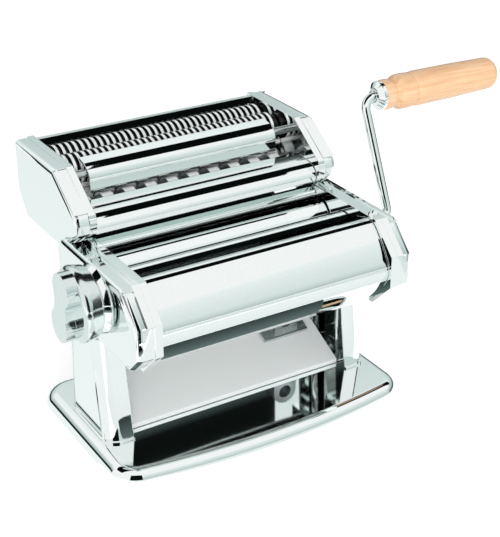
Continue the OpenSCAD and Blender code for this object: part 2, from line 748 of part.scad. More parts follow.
module thickness_knob() color("silver") {
    r = knob_d / 2;
    difference() {
        union() {
            turned([roller_y, roller_z]) polygon(concat([[0, -knob_in], [r - 1.5, -knob_in]],
                arc([r - knob_round, -knob_face + knob_round], knob_round, 0, -90, 6), [[0, -knob_face]]));
            translate([-knob_face - knob_bar, roller_y, roller_z]) rotate([90, 0, 90])
                linear_extrude(knob_bar + 1) rotate(knob_bar_turn) knob_bar_view();
        }
        bar(-knob_face, -knob_in + 1, [roller_y, roller_z], spindle_d / 2 + run_gap);
        bar(-knob_face + knob_floor, -knob_stop, [roller_y, roller_z], knob_bore);
    }
}

// The crank, drawn with its arm upright along Z from the axis, then leant back
module crank_form(r) {
    low = arm_x - rod_bend;
    bar(shaft_end - socket_deep + 0.4, low, [0, 0], r);
    translate([low, 0, rod_bend]) rotate([90, 0, 0]) rotate([0, 0, -90]) rotate_extrude(angle = 90)
        translate([rod_bend, 0]) circle(r);
    translate([arm_x, 0, rod_bend]) cylinder(h = crank_r - 2 * rod_bend, r = r);
    translate([arm_x + rod_bend, 0, crank_r - rod_bend]) rotate([90, 0, 0]) rotate([0, 0, 90])
        rotate_extrude(angle = 90) translate([rod_bend, 0]) circle(r);
    bar(arm_x + rod_bend, grip_in + grip_len - rod_back, [0, crank_r], r);
    translate([shaft_end - socket_deep - tang_len, -tang_t / 2, -r * 0.9])
        cube([tang_len + 1.6, tang_t, r * 1.8]);
    translate([grip_in + grip_len - rod_back, 0, crank_r]) rotate([0, 90, 0])
        cylinder(h = rivet_h, r = r + rivet_step);
}
module crank_rod() color("silver") {
    translate([0, roller_y, roller_z]) rotate([-crank_angle, 0, 0]) crank_form(rod_d / 2);
}
module grip_ferrule() color("silver") {
    r = grip_d * 0.41;
    turned(grip_at) polygon([[grip_hole, grip_in], [grip_hole + 2.4, grip_in], [r, grip_in + 2.6],
        [r, grip_in + ferrule_len], [grip_hole, grip_in + ferrule_len]]);
}
module crank_grip() color("burlywood") {
    g = grip_in + ferrule_len;
    e = grip_in + grip_len;
    r = grip_d / 2;
    bead_end = g + grip_bead;
    difference() {
        turned(grip_at) polygon(concat([[0, g], [r * 0.8, g]],
            arc([r * 0.86 - 2.5, g + 4.5], 2.5, 0, 90, 4),
            [[r * 0.76, g + 8.6]], arc([r - 4, g + 14], 4, -50, 0, 4),
            [[r * 0.99, g + 21], [r * 0.96, bead_end - 0.6], [r * 0.92, bead_end], [r * 0.97, bead_end + 0.8],
                [r, bead_end + 4], [r * 0.975, g + 60]],
            arc([r * 0.92 - 6, e - 6], 6, 0, 90, 6), [[0, e]]));
        bar(g - 1, e - rod_back, grip_at, grip_hole);
        bar(e - rod_back - fit_gap, e - rod_back + rivet_h + fit_gap, grip_at,
            rod_d / 2 + rivet_step + fit_gap);
    }
}

module cutter_plate() across(plate_in, plate_out) difference() {
    polygon(cap_profile);
    for (p = cut_axes)
        translate(p) circle(cut_bush_r + run_gap);
    for (p = cut_rod_at)
        translate(p) circle(cut_rod_r + run_gap);
}
module cutter_right_plate() color("silver") cutter_plate();
module cutter_left_plate() color("silver") mirrored() cutter_plate();
// Outer or inner form of a cutter cap, d inside its surface
module cap_form(d, end) {
    p = inset(cap_profile, cap_step + d);
    hull() {
        across(plate_out - (d > 0 ? 1 : 0), end - cap_edge) polygon(p);
        across(plate_out, end - cap_edge * 0.3) polygon(inset(p, cap_edge * 0.3));
        across(plate_out, end) polygon(inset(p, cap_edge));
    }
}
module cutter_cap() {
    difference() {
        cap_form(0, cap_half);
        cap_form(sheet_t, cap_half - sheet_t);
    }
    inner = inset(cap_profile, cap_step + 0.2);
    across(plate_out, cap_half - cap_lip) polygon([cap_profile[5] + [-1, -1], cap_profile[6] + [1, 1.4],
        inner[6] + [1, 1], inner[5] + [-1, -1]]);
}
module cutter_right_cap() color("silver") difference() {
    cutter_cap();
    for (p = [narrow_front, wide_front])
        bar(plate_out, cap_half + 1, p, cap_hole_r);
}
module cutter_left_cap() color("silver") mirrored() cutter_cap();
module cutter_front_guide() color("silver") {
    across(-sheet_half, sheet_half) polygon(bent(front_guide_path, sheet_t));
}
module cutter_middle_guide() color("silver") {
    bend = [middle_front + middle_r, middle_top - middle_r];
    path = concat([middle_back], arc(bend, middle_r, 100, 180, 10), [[middle_front, middle_low]]);
    across(-middle_w / 2, middle_w / 2) polygon(bent(path, sheet_t));
    both() across(middle_w / 2 - hanger_in, middle_w / 2 - hanger_in + hanger_t)
        translate(cut_rod_at[2]) difference() {
            circle(hanger_r);
            circle(cut_rod_r + run_gap);
        }
}
module cutter_rear_cover() color("silver") {
    across(-sheet_half, sheet_half) polygon(bent(rear_guide_path, -sheet_t));
}
module cutter_rods() color("gray") {
    for (p = cut_rod_at)
        bar(-plate_out, plate_out, p, cut_rod_r);
}
module cutter_bushes() color("goldenrod") {
    both() for (p = cut_axes)
        difference() {
            bar(plate_in, plate_out, p, cut_bush_r);
            bar(plate_in - 1, plate_out + 1, p, cut_journal_r + run_gap);
        }
}
// A cutting roller with count lands, shifted along X by a share of its pitch
function land_pitch(count) = 2 * cut_lands / count;
module cutting_roller(at, count, shift, left_end, right_end) {
    pitch = land_pitch(count);
    land = pitch / 2 - cut_clear;
    core = cut_r - cut_groove;
    turned(at) polygon(concat([[0, -cut_end], [core, -cut_end]],
        [for (i = [0 : count - 1]) let (x = -cut_lands + (i + shift) * pitch)
            each [[core, x - land / 2], [cut_r, x - land / 2],
                [cut_r, x + land / 2], [core, x + land / 2]]],
        [[core, cut_end], [0, cut_end]]));
    bar(-left_end, right_end, at, cut_journal_r);
}
module driven_roller(at, count, left_end) {
    difference() {
        cutting_roller(at, count, 0.25, left_end, drive_end);
        translate([0, at[0], at[1]]) socket(drive_end);
    }
}
module narrow_front_roller() color("lightgray") driven_roller(narrow_front, narrow_count, cut_gear_out);
module narrow_back_roller() color("lightgray") {
    cutting_roller(narrow_back, narrow_count, 0.75, cut_gear_out, plate_out + 1);
}
module wide_front_roller() color("lightgray") driven_roller(wide_front, wide_count, plate_out + 1);
module wide_back_roller() color("lightgray") {
    cutting_roller(wide_back, wide_count, 0.75, plate_out + 1, cut_gear_out);
}
module cutter_gear(at, turn) {
    translate([0, at[0], at[1]]) across(cut_gear_in, cut_gear_out)
        gear_view(cut_teeth, cut_cc / 2, cut_gear_add, cut_gear_ded, cut_journal_r + press_gap, turn);
}
module narrow_front_gear() color("gray") mirrored() cutter_gear(narrow_front, 0);
module narrow_back_gear() color("gray") mirrored() cutter_gear(narrow_back, 180 + 180 / cut_teeth);
module wide_front_gear() color("gray") cutter_gear(wide_front, 0);
module wide_back_gear() color("gray") cutter_gear(wide_back, 180 + 180 / cut_teeth);

// A stripper comb: a bar beside a cutting roller with one tooth in each groove, at angle a round the roller
module comb(at, count, shift, a) {
    pitch = land_pitch(count);
    groove = pitch / 2 + cut_clear;
    inner = cut_r - cut_groove + 0.4;
    translate([0, at[0], at[1]]) rotate([a, 0, 0]) {
        translate([-sheet_half, cut_r + 0.8, -1]) cube([2 * sheet_half, 2.2, 2]);
        for (i = [0 : count - 2])
            translate([-cut_lands + (i + shift + 0.5) * pitch - groove / 2 + 0.35, inner, -0.6])
                cube([groove - 0.7, cut_r + 1.5 - inner, 1.2]);
    }
}
module narrow_combs() color("ivory") {
    comb(narrow_front, narrow_count, 0.25, 225);
    comb(narrow_back, narrow_count, 0.75, -45);
}
module wide_combs() color("ivory") {
    comb(wide_front, wide_count, 0.25, 225);
    comb(wide_back, wide_count, 0.75, -45);
}

base_plate();
feet();
left_leg();
right_leg();
leg_screws();
chute();
clamp_lug();
lug_screws();
left_side_plate();
right_side_plate();
left_casing();
right_casing();
front_cover();
rear_cover();
tie_rods();
frame_screws();
roller_bushes();
front_scraper();
knob_boss();
front_roller();
drive_gear();
rear_roller();
driven_gear();
left_bearing_plate();
right_bearing_plate();
carriage_bar();
rear_scraper();
gap_cam();
thickness_knob();
crank_rod();
grip_ferrule();
crank_grip();
cutter_left_plate();
cutter_right_plate();
cutter_left_cap();
cutter_right_cap();
cutter_front_guide();
cutter_middle_guide();
cutter_rear_cover();
cutter_rods();
cutter_bushes();
narrow_combs();
wide_combs();
narrow_front_roller();
narrow_back_roller();
wide_front_roller();
wide_back_roller();
narrow_front_gear();
narrow_back_gear();
wide_front_gear();
wide_back_gear();
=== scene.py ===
"""Looks of a hand cranked pasta machine: chromed sheet metal, steel rollers and a beech grip."""
import json
import math

import bpy
from mathutils import Matrix, Vector


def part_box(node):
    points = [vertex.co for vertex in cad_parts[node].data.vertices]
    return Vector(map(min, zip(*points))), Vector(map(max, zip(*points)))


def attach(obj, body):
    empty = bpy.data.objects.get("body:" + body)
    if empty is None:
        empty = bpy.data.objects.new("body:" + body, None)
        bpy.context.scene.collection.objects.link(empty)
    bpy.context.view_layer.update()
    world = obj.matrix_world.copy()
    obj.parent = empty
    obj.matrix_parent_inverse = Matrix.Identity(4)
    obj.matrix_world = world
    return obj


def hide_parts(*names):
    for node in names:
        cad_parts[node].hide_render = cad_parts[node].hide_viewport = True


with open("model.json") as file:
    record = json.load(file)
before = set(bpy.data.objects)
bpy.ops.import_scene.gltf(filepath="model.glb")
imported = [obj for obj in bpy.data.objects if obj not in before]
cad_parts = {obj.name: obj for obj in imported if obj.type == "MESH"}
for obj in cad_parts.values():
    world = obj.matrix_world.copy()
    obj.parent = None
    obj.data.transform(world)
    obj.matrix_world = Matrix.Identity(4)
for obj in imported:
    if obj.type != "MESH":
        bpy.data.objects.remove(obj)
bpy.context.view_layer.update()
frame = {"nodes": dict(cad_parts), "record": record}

bl_info = {
    "name": "Pasta Machine Looks",
    "version": (1, 0, 0),
    "blender": (4, 5, 0),
    "location": "View3D > Sidebar > Pasta Machine",
    "description": "Dresses the pasta machine's solids in chrome, steel and beech, and sets its stage",
    "category": "Object",
}

MM = 0.001
SAME_PLACE = 1e-6       # metres within which two corners are one
WELD = 0.06 * MM        # gap up to which a solid's small neighbouring corners are merged
SLIVER = 0.02 * MM      # width under which a face counts as none
FLAT_TURN = 0.2         # degrees within which triangles lie in one face
LEVEL_SLACK_MM = 0.05   # how far a corner may lie off a rim's level
TURN_STEPS = 128        # facets round a turned piece
SHEET_MM = 1.2          # thickness of the pressed sheets
BODY_OF = {node: body for body, nodes in frame["record"]["behaviour"]["bodies"].items() for node in nodes}
SLOT_OF = {part["node"]: part["material_slot"] for part in frame["record"]["subparts"]}


# Colours and material nodes

def linear(code):
    """Linear colour of an sRGB hex code."""
    channels = [int(code[i:i + 2], 16) / 255 for i in (1, 3, 5)]
    return [c / 12.92 if c <= 0.04045 else ((c + 0.055) / 1.055) ** 2.4 for c in channels] + [1.0]


def add_node(tree, kind, values=(), links=(), **settings):
    """Adds a node with its settings, socket values and incoming links."""
    node = tree.nodes.new(kind)
    for key, value in settings.items():
        setattr(node, key, value)
    for socket, value in dict(values).items():
        node.inputs[socket].default_value = value
    for socket, source in dict(links).items():
        tree.links.new(source, node.inputs[socket])
    return node


def empty_material(name):
    """A node material with nothing in its tree yet."""
    material = bpy.data.materials.new(name)
    material.use_nodes = True
    material.node_tree.nodes.clear()
    return material, material.node_tree


def new_material(name):
    """A material with its shader linked to the output, and the place on the piece in metres."""
    material, tree = empty_material(name)
    shader = add_node(tree, "ShaderNodeBsdfPrincipled")
    add_node(tree, "ShaderNodeOutputMaterial", links={"Surface": shader.outputs["BSDF"]})
    return material, tree, shader, object_place(tree)


def object_place(tree):
    return add_node(tree, "ShaderNodeTexCoord").outputs["Object"]


def stretch(tree, place, along, across):
    """A place scaled along X and across it, for grain that runs along X."""
    scale = {"Scale": (along, across, across)}
    return add_node(tree, "ShaderNodeMapping", scale, {"Vector": place}).outputs["Vector"]


def add_noise(tree, place, scale, detail, **values):
    """A noise texture's value at a place."""
    values.update(Scale=scale, Detail=detail)
    return add_node(tree, "ShaderNodeTexNoise", values, {"Vector": place}).outputs["Fac"]


def add_range(tree, value, low, high, to_low, to_high):
    """A value moved from one range to another."""
    limits = {"From Min": low, "From Max": high, "To Min": to_low, "To Max": to_high}
    return add_node(tree, "ShaderNodeMapRange", limits, {"Value": value}).outputs["Result"]


def add_tones(tree, value, stops):
    """A colour ramp over a value, from pairs of position and linear colour."""
    ramp = add_node(tree, "ShaderNodeValToRGB", links={"Fac": value})
    elements = ramp.color_ramp.elements
    while len(elements) < len(stops):
        elements.new(0.5)
    for element, (position, colour) in zip(elements, stops):
        element.position = position
        element.color = colour
    return ramp.outputs["Color"]


def add_bump(tree, height, strength, depth_mm):
    """Normals bent by a height."""
    values = {"Strength": strength, "Distance": depth_mm * MM}
    return add_node(tree, "ShaderNodeBump", values, {"Height": height}).outputs["Normal"]


def wire(tree, shader, values, links):
    """Sets the shader's values and links its other sockets."""
    for socket, value in values.items():
        shader.inputs[socket].default_value = value
    for socket, source in links.items():
        tree.links.new(source, shader.inputs[socket])


def polished_metal(name, bright, dull, gloss, haze, grain_mm, wave_mm, wave, mirror=1.0):
    """A metal sheet: its tone and gloss drift with fine grain, and a slow wave bends its reflections."""
    material, tree, shader, place = new_material(name)
    grain = add_noise(tree, place, 1 / (grain_mm * MM), 4.0, Roughness=0.6)
    slow = add_noise(tree, place, 1 / (wave_mm * MM), 1.0)
    wire(tree, shader, {"Metallic": mirror}, {
        "Base Color": add_tones(tree, grain, [(0.3, dull), (0.7, bright)]),
        "Roughness": add_range(tree, grain, 0.3, 0.75, gloss, haze),
        "Normal": add_bump(tree, slow, wave, 1)})
    return material


def turned_metal(name, bright, dull, gloss, haze, line_mm, ridge, mirror=1.0):
    """A metal that was turned on a lathe about X: fine rings of tone and gloss run round it."""
    material, tree, shader, place = new_material(name)
    rings = add_noise(tree, stretch(tree, place, 1 / (line_mm * MM), 12.0), 1.0, 3.0, Roughness=0.7)
    wire(tree, shader, {"Metallic": mirror}, {
        "Base Color": add_tones(tree, rings, [(0.3, dull), (0.7, bright)]),
        "Roughness": add_range(tree, rings, 0.3, 0.7, gloss, haze),
        "Normal": add_bump(tree, rings, ridge, 0.1)})
    return material


def moulded(name, light, dark, gloss, grain_mm, depth_mm):
    """A moulded plastic or rubber with a fine grain in its skin."""
    material, tree, shader, place = new_material(name)
    grain = add_noise(tree, place, 1 / (grain_mm * MM), 3.0)
    wire(tree, shader, {"Roughness": gloss, "IOR": 1.5}, {
        "Base Color": add_tones(tree, grain, [(0.35, dark), (0.65, light)]),
        "Normal": add_bump(tree, grain, 0.3, depth_mm)})
    return material


def beech(name, light, middle, dark):
    """Lacquered beech, turned along X: long grain, short brown rays and a thin clear coat."""
    material, tree, shader, place = new_material(name)
    # Grain streaks 2 mm wide and about 30 mm long
    streaks = add_noise(tree, stretch(tree, place, 33.0, 480.0), 1.0, 5.0, Roughness=0.55, Distortion=0.4)
    tone = add_tones(tree, streaks, [(0.28, dark), (0.5, middle), (0.72, light)])
    # Rays: dark flecks 3 mm long and 0.5 mm wide
    flecks = add_noise(tree, stretch(tree, place, 330.0, 2000.0), 1.0, 1.0)
    fleck_mask = add_range(tree, flecks, 0.62, 0.75, 0.0, 0.5)
    # Sockets 0, 6 and 7 are the mix's factor and its two colours
    blend = add_node(tree, "ShaderNodeMix", {7: dark}, {0: fleck_mask, 6: tone}, data_type="RGBA")
    wire(tree, shader, {"Roughness": 0.42, "IOR": 1.52, "Coat Weight": 0.35, "Coat Roughness": 0.18}, {
        "Base Color": blend.outputs[2], "Normal": add_bump(tree, streaks, 0.12, 0.2)})
    return material


def make_materials(colours):
    """One material for each slot of the record, and two that are laid on parts of pieces."""
    return {
        # Decorative chrome on pressed steel: a mirror whose reflections bend a little with the sheet
        "chrome": polished_metal(
            "chrome_plated_sheet", colours.chrome_bright, colours.chrome_dull,
            gloss=0.03, haze=0.07, grain_mm=0.5, wave_mm=45, wave=0.05),
        # Chrome on the cast knob: a hazier mirror over the skin of the casting, greyed as painted shade for
        # the knob's darker look
        "knob_chrome": polished_metal(
            "chromed_casting", linear("#E4ECEB"), linear("#D2DCDA"),
            gloss=0.1, haze=0.2, grain_mm=0.5, wave_mm=12, wave=0.08),
        # Dull, dark steel in the grooves of the narrow cutting rollers: its dark tone is painted shade deep
        # in the grooves
        "groove_steel": turned_metal(
            "groove_shade_steel", linear("#4A4C4B"), linear("#2E302F"),
            gloss=0.35, haze=0.5, line_mm=0.3, ridge=0.05),
        # Finely brushed steel of the ramp: an even pale sheen without sharp reflections
        "satin_steel": polished_metal(
            "satin_steel_sheet", linear("#FCFEFE"), linear("#F4F8F8"),
            gloss=0.3, haze=0.36, grain_mm=0.5, wave_mm=60, wave=0.02, mirror=0.12),
        # Hard chrome on ground rollers: a mirror with a trace of the grinding
        "roller_steel": turned_metal(
            "ground_chromed_roller", linear("#F3F8F7"), linear("#EEF4F3"),
            gloss=0.04, haze=0.06, line_mm=0.6, ridge=0.005),
        # Turned steel of the cutting rollers: rings left by the tool
        "cutter_steel": turned_metal(
            "turned_steel", linear("#FAFDFC"), linear("#EEF3F2"),
            gloss=0.25, haze=0.35, line_mm=0.3, ridge=0.05, mirror=0.2),
        # Plain steel of rods, screws and gears: a soft grey shine
        "plain_steel": polished_metal(
            "bright_mild_steel", linear("#DDE2E2"), linear("#BCC3C3"),
            gloss=0.22, haze=0.4, grain_mm=0.4, wave_mm=20, wave=0.03),
        # Sintered brass of the bearings: a warm, slightly dull yellow
        "brass": polished_metal(
            "bearing_brass", linear("#D8B066"), linear("#B58C45"),
            gloss=0.22, haze=0.38, grain_mm=0.4, wave_mm=15, wave=0.03),
        # Moulded acetal of the scrapers and combs: milky, with a fine skin
        "scraper_plastic": moulded(
            "moulded_acetal", linear("#EBECE8"), linear("#DEDFDA"), gloss=0.45, grain_mm=0.6, depth_mm=0.05),
        # Lacquered beech of the grip: warm and pale, with grain along it under a soft gloss
        "beech": beech("lacquered_beech", colours.beech_light, colours.beech_middle, colours.beech_dark),
        # Moulded rubber of the feet: black, dull and finely pitted
        "rubber": moulded(
            "black_rubber", linear("#1E1E1E"), linear("#101010"), gloss=0.75, grain_mm=0.5, depth_mm=0.1),
    }


# Modelling helpers

def deselect():
    """Leaves edit mode and selects nothing."""
    if bpy.context.object and bpy.context.object.mode != "OBJECT":
        bpy.ops.object.mode_set(mode="OBJECT")
    bpy.ops.object.select_all(action="DESELECT")


def make_active(piece):
    """Makes a piece the only one selected, and the active one."""
    deselect()
    piece.select_set(True)
    bpy.context.view_layer.objects.active = piece


def finish_piece(piece, node, *others):
    """Makes a piece ride on its node's body, stand for the nodes and carry their finish."""
    piece.data.materials.clear()
    piece.data.materials.append(MATERIALS[SLOT_OF[node]])
    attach(piece, BODY_OF[node])
    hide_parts(node, *others)


def merged_copy(node):
    """A copy of a solid with its triangles merged into whole faces, in object mode, with nothing selected."""
    deselect()
    piece = bpy.data.objects.new(node + "_dressed", frame["nodes"][node].data.copy())
    bpy.context.scene.collection.objects.link(piece)
    make_active(piece)
    bpy.ops.object.mode_set(mode="EDIT")
    bpy.ops.mesh.select_all(action="SELECT")
    bpy.ops.mesh.remove_doubles(threshold=SAME_PLACE)
    bpy.ops.mesh.dissolve_limited(angle_limit=math.radians(FLAT_TURN))
    bpy.ops.mesh.remove_doubles(threshold=WELD)
    bpy.ops.mesh.select_all(action="DESELECT")
    bpy.ops.object.mode_set(mode="OBJECT")
    return piece


def rounded_copy(node, width_mm, segments=3, angle=32, smooth=40, clamp=True):
    """A merged copy of a solid with its sharp edges rounded."""
    piece = merged_copy(node)
    round_edges(piece, width_mm, segments, angle, smooth, clamp)
    finish_piece(piece, node)
    return piece


def round_rim(node, levels, width_mm, holes):
    """A merged copy of a hollow cap whose stepped rim is rolled round, clear of the holes in its face."""
    piece = merged_copy(node)
    bevel_edges(piece, 0.3, segments=2, angle=60)
    corners = [corner.co / MM for corner in piece.data.vertices]
    marks = [[abs(abs(corner.x) - level) < LEVEL_SLACK_MM for level in levels] for corner in corners]
    clear = [all(math.hypot(corner.y - y, corner.z - z) > r for y, z, r in holes) for corner in corners]
    chosen = [clear[a] and clear[b] and any(m and n for m, n in zip(marks[a], marks[b]))
              for a, b in (edge.vertices for edge in piece.data.edges)]
    bevel_chosen(piece, chosen, width_mm, segments=4)
    shade_flats(piece, smooth=30)
    finish_piece(piece, node)


def round_long_edges(node, width_mm, length_mm, turn):
    """A merged copy of a bent sheet whose long sharp edges are rounded, but not those round its holes."""
    piece = merged_copy(node)
    normals = {}
    for face in piece.data.polygons:
        for key in face.edge_keys:
            normals.setdefault(key, []).append(face.normal.copy())
    chosen = []
    for edge in piece.data.edges:
        start, end = (piece.data.vertices[corner].co for corner in edge.vertices)
        first, second = normals[edge.key]
        chosen.append((end - start).length > length_mm * MM and first.angle(second) > math.radians(turn))
    bevel_chosen(piece, chosen, width_mm, segments=3)
    shade_flats(piece, smooth=40)
    finish_piece(piece, node)


def bevel_chosen(piece, chosen, width_mm, segments):
    """Rounds the edges of the active piece for which chosen holds true."""
    bpy.ops.object.mode_set(mode="EDIT")
    bpy.ops.mesh.select_mode(type="EDGE")
    bpy.ops.mesh.select_all(action="DESELECT")
    bpy.ops.object.mode_set(mode="OBJECT")
    for edge, picked in zip(piece.data.edges, chosen):
        edge.select = picked
    bpy.ops.object.mode_set(mode="EDIT")
    bpy.ops.mesh.bevel(offset=width_mm * MM, segments=segments, affect="EDGES")
    bpy.ops.mesh.select_mode(type="VERT")
    bpy.ops.object.mode_set(mode="OBJECT")
    clear_slivers()


def paint_groove_shade(piece, radius_mm, finish):
    """Lays darker steel on the faces that lie deeper than a radius round the piece's X axis, as painted shade
    in the grooves.
    """
    piece.data.materials.append(MATERIALS[finish])
    corners = [corner.co for corner in piece.data.vertices]
    axis = [(min(c[k] for c in corners) + max(c[k] for c in corners)) / 2 for k in (1, 2)]
    for face in piece.data.polygons:
        if math.hypot(face.center[1] - axis[0], face.center[2] - axis[1]) < radius_mm * MM:
            face.material_index = 1


def trace(name, points):
    """A new mesh of one chain of edges through the points, drawn by extruding a single vertex."""
    deselect()
    bpy.ops.mesh.primitive_plane_add(size=1 * MM, location=(0, 0, 0))
    piece = bpy.context.object
    piece.name = piece.data.name = name
    bpy.ops.object.mode_set(mode="EDIT")
    bpy.ops.mesh.select_all(action="SELECT")
    bpy.ops.mesh.merge(type="CENTER")
    bpy.ops.transform.translate(value=Vector(points[0]) * MM)
    for start, end in zip(points, points[1:]):
        bpy.ops.mesh.extrude_region_move(TRANSFORM_OT_translate={"value": (Vector(end) - Vector(start)) * MM})
    return piece


def turned_piece(name, profile, at):
    """A piece turned about an X axis through at, from points of (x, radius) in mm."""
    piece = trace(name, [(x, at[0], at[1] + r) for x, r in profile])
    bpy.ops.mesh.select_all(action="SELECT")
    centre = (0, at[0] * MM, at[1] * MM)
    bpy.ops.mesh.spin(steps=TURN_STEPS, angle=math.tau, center=centre, axis=(1, 0, 0))
    close_mesh()
    return piece


def close_mesh():
    """Merges the mesh's doubles and turns its faces outwards, then leaves edit mode."""
    bpy.ops.mesh.select_all(action="SELECT")
    bpy.ops.mesh.remove_doubles(threshold=SAME_PLACE)
    bpy.ops.mesh.normals_make_consistent(inside=False)
    bpy.ops.object.mode_set(mode="OBJECT")


def pressed_tray(name, outline, height, roll):
    """A tray, open below, pressed to an outline of (x, y) in mm with a rolled top edge."""
    piece = trace(name, [(x, y, 0) for x, y in outline + outline[:1]])
    bpy.ops.mesh.select_all(action="SELECT")
    bpy.ops.mesh.remove_doubles(threshold=SAME_PLACE)
    bpy.ops.mesh.extrude_region_move(TRANSFORM_OT_translate={"value": (0, 0, height * MM)})
    bpy.ops.mesh.edge_face_add()
    bpy.ops.mesh.region_to_loop()
    bpy.ops.mesh.bevel(offset=roll * MM, segments=10, affect="EDGES")
    bpy.ops.mesh.select_all(action="SELECT")
    bpy.ops.mesh.normals_make_consistent(inside=False)
    add_wall(piece, -1)
    return piece


def add_wall(piece, side):
    """Gives an open sheet its thickness on one side, and leaves edit mode."""
    bpy.ops.object.mode_set(mode="OBJECT")
    wall = piece.modifiers.new("wall", "SOLIDIFY")
    wall.thickness = SHEET_MM * MM
    wall.offset = side
    wall.use_even_offset = True
    bpy.ops.object.modifier_apply(modifier=wall.name)
    bpy.ops.object.mode_set(mode="EDIT")
    close_mesh()


def sheet_piece(name, path, x0, x1, side):
    """A bent sheet along a path of (y, z) in mm, from x0 to x1."""
    piece = trace(name, [(x0, y, z) for y, z in path])
    bpy.ops.mesh.select_all(action="SELECT")
    bpy.ops.mesh.extrude_region_move(TRANSFORM_OT_translate={"value": ((x1 - x0) * MM, 0, 0)})
    add_wall(piece, side)
    return piece


def clear_slivers():
    """Takes the faces without area out of the active piece."""
    bpy.ops.object.mode_set(mode="EDIT")
    bpy.ops.mesh.select_all(action="SELECT")
    bpy.ops.mesh.dissolve_degenerate(threshold=SLIVER)
    bpy.ops.mesh.select_all(action="DESELECT")
    bpy.ops.object.mode_set(mode="OBJECT")


def bevel_edges(piece, width_mm, segments, angle, clamp=True):
    """Rounds the edges of a piece at which its faces turn by more than an angle."""
    make_active(piece)
    bevel = piece.modifiers.new("edge", "BEVEL")
    bevel.width = width_mm * MM
    bevel.segments = segments
    bevel.limit_method = "ANGLE"
    bevel.angle_limit = math.radians(angle)
    bevel.use_clamp_overlap = clamp
    bpy.ops.object.modifier_apply(modifier=bevel.name)
    clear_slivers()


def shade_flats(piece, smooth):
    """Shades a piece's curves smooth and keeps its flats flat to the eye."""
    make_active(piece)
    bpy.ops.object.shade_smooth_by_angle(angle=math.radians(smooth))
    flats = piece.modifiers.new("flats", "WEIGHTED_NORMAL")
    flats.keep_sharp = True
    bpy.ops.object.modifier_apply(modifier=flats.name)


def round_edges(piece, width_mm, segments=3, angle=32, smooth=40, clamp=True):
    """Rounds a piece's sharp edges and shades it."""
    bevel_edges(piece, width_mm, segments, angle, clamp)
    shade_flats(piece, smooth)


def offset(point, distance, angle):
    """A point moved by a distance at an angle in degrees."""
    turn = math.radians(angle)
    return point[0] + distance * math.cos(turn), point[1] + distance * math.sin(turn)


def arc(centre, radius, start, end, count):
    """Points of an arc between two angles in degrees."""
    return [offset(centre, radius, start + (end - start) * i / count) for i in range(count + 1)]


def axis_of(node):
    """(y, z) of a turned node's axis, in mm."""
    low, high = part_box(node)
    return (low[1] + high[1]) / 2 / MM, (low[2] + high[2]) / 2 / MM


def span_of(node):
    """Lowest and highest x of a node, in mm."""
    low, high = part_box(node)
    return low[0] / MM, high[0] / MM


# Settings that a user may change

def length_setting(name, description, default_mm, low_mm, high_mm):
    """A length, given in mm and kept in metres."""
    return bpy.props.FloatProperty(
        name=name, description=description, default=default_mm * MM, min=low_mm * MM, max=high_mm * MM,
        unit="LENGTH", precision=5)


def colour_setting(name, description, code):
    """A colour, given as a hex code."""
    return bpy.props.FloatVectorProperty(
        name=name, description=description, subtype="COLOR", size=4, default=linear(code), min=0, max=1)


def power_setting(name, description, default):
    """A lamp's power in watts."""
    return bpy.props.FloatProperty(
        name=name, description=description, default=default, min=0.0, max=60.0, unit="POWER")


class PastaSizes(bpy.types.PropertyGroup):
    """Sizes of the dressed pieces."""
    sheet_edge: length_setting("Sheet edge", "Rounding of the edges of pressed sheet", 0.35, 0.05, 0.5)
    plate_edge: length_setting("Plate edge", "Rounding of the edges of the thick side plates", 0.7, 0.1, 1.5)
    base_roll: length_setting("Base roll", "Radius of the base's rolled top edge", 7.4, 4, 7.5)


class PastaColours(bpy.types.PropertyGroup):
    """Colours of the finishes."""
    chrome_bright: colour_setting("Chrome, bright", "Chrome where it is clean", "#F5F9F8")
    chrome_dull: colour_setting("Chrome, dull", "Chrome where its film is thicker", "#EBF0EF")
    beech_light: colour_setting("Beech, light", "Pale early wood of the grip", "#F0CCA4")
    beech_middle: colour_setting("Beech, middle", "Main tone of the grip", "#ECBE92")
    beech_dark: colour_setting("Beech, dark", "Brown rays and late wood of the grip", "#E1AC7F")


class PastaStage(bpy.types.PropertyGroup):
    """The studio round the machine."""
    floor_size: bpy.props.FloatProperty(
        name="Floor", description="Width of the pale floor", default=6.0, min=2.0, max=20.0, unit="LENGTH")
    fill: bpy.props.FloatProperty(
        name="Fill", description="Strength of the room's even light", default=0.55, min=0.0, max=1.0)
    key: power_setting("Key", "Power of the big soft lamp above", 6.0)
    front: power_setting("Front", "Power of the low soft lamp in front", 19.0)


MATERIALS = {}


# Operators, one for each group of pieces

class PASTA_OT_finishes(bpy.types.Operator):
    """Makes the machine's materials and lays them on every solid"""
    bl_idname = "pasta.finishes"
    bl_label = "Finishes"

    def execute(self, context):
        MATERIALS.update(make_materials(context.scene.pasta_colours))
        for node, solid in frame["nodes"].items():
            solid.data.materials.clear()
            solid.data.materials.append(MATERIALS[SLOT_OF[node]])
        return {"FINISHED"}


def base_outline():
    """Plan of the base in mm: three straight sides, round corners and a bowed front."""
    side, back, corner, bow = 101.5, 64.0, 18.0, 500.0
    corner_x = side - corner
    bow_y = bow - back
    front_y = bow_y - math.sqrt((bow - corner) ** 2 - corner_x ** 2)
    lean = math.degrees(math.atan2(corner_x, bow_y - front_y))
    return (arc((-corner_x, back - corner), corner, 90, 180, 16)
            + arc((-corner_x, front_y), corner, 180, 270 - lean, 16)
            + arc((0, bow_y), bow, 270 - lean, 270 + lean, 40)[1:-1]
            + arc((corner_x, front_y), corner, 270 + lean, 360, 16)
            + arc((corner_x, back - corner), corner, 0, 90, 16))


BASE_HEIGHT_MM = 9.5


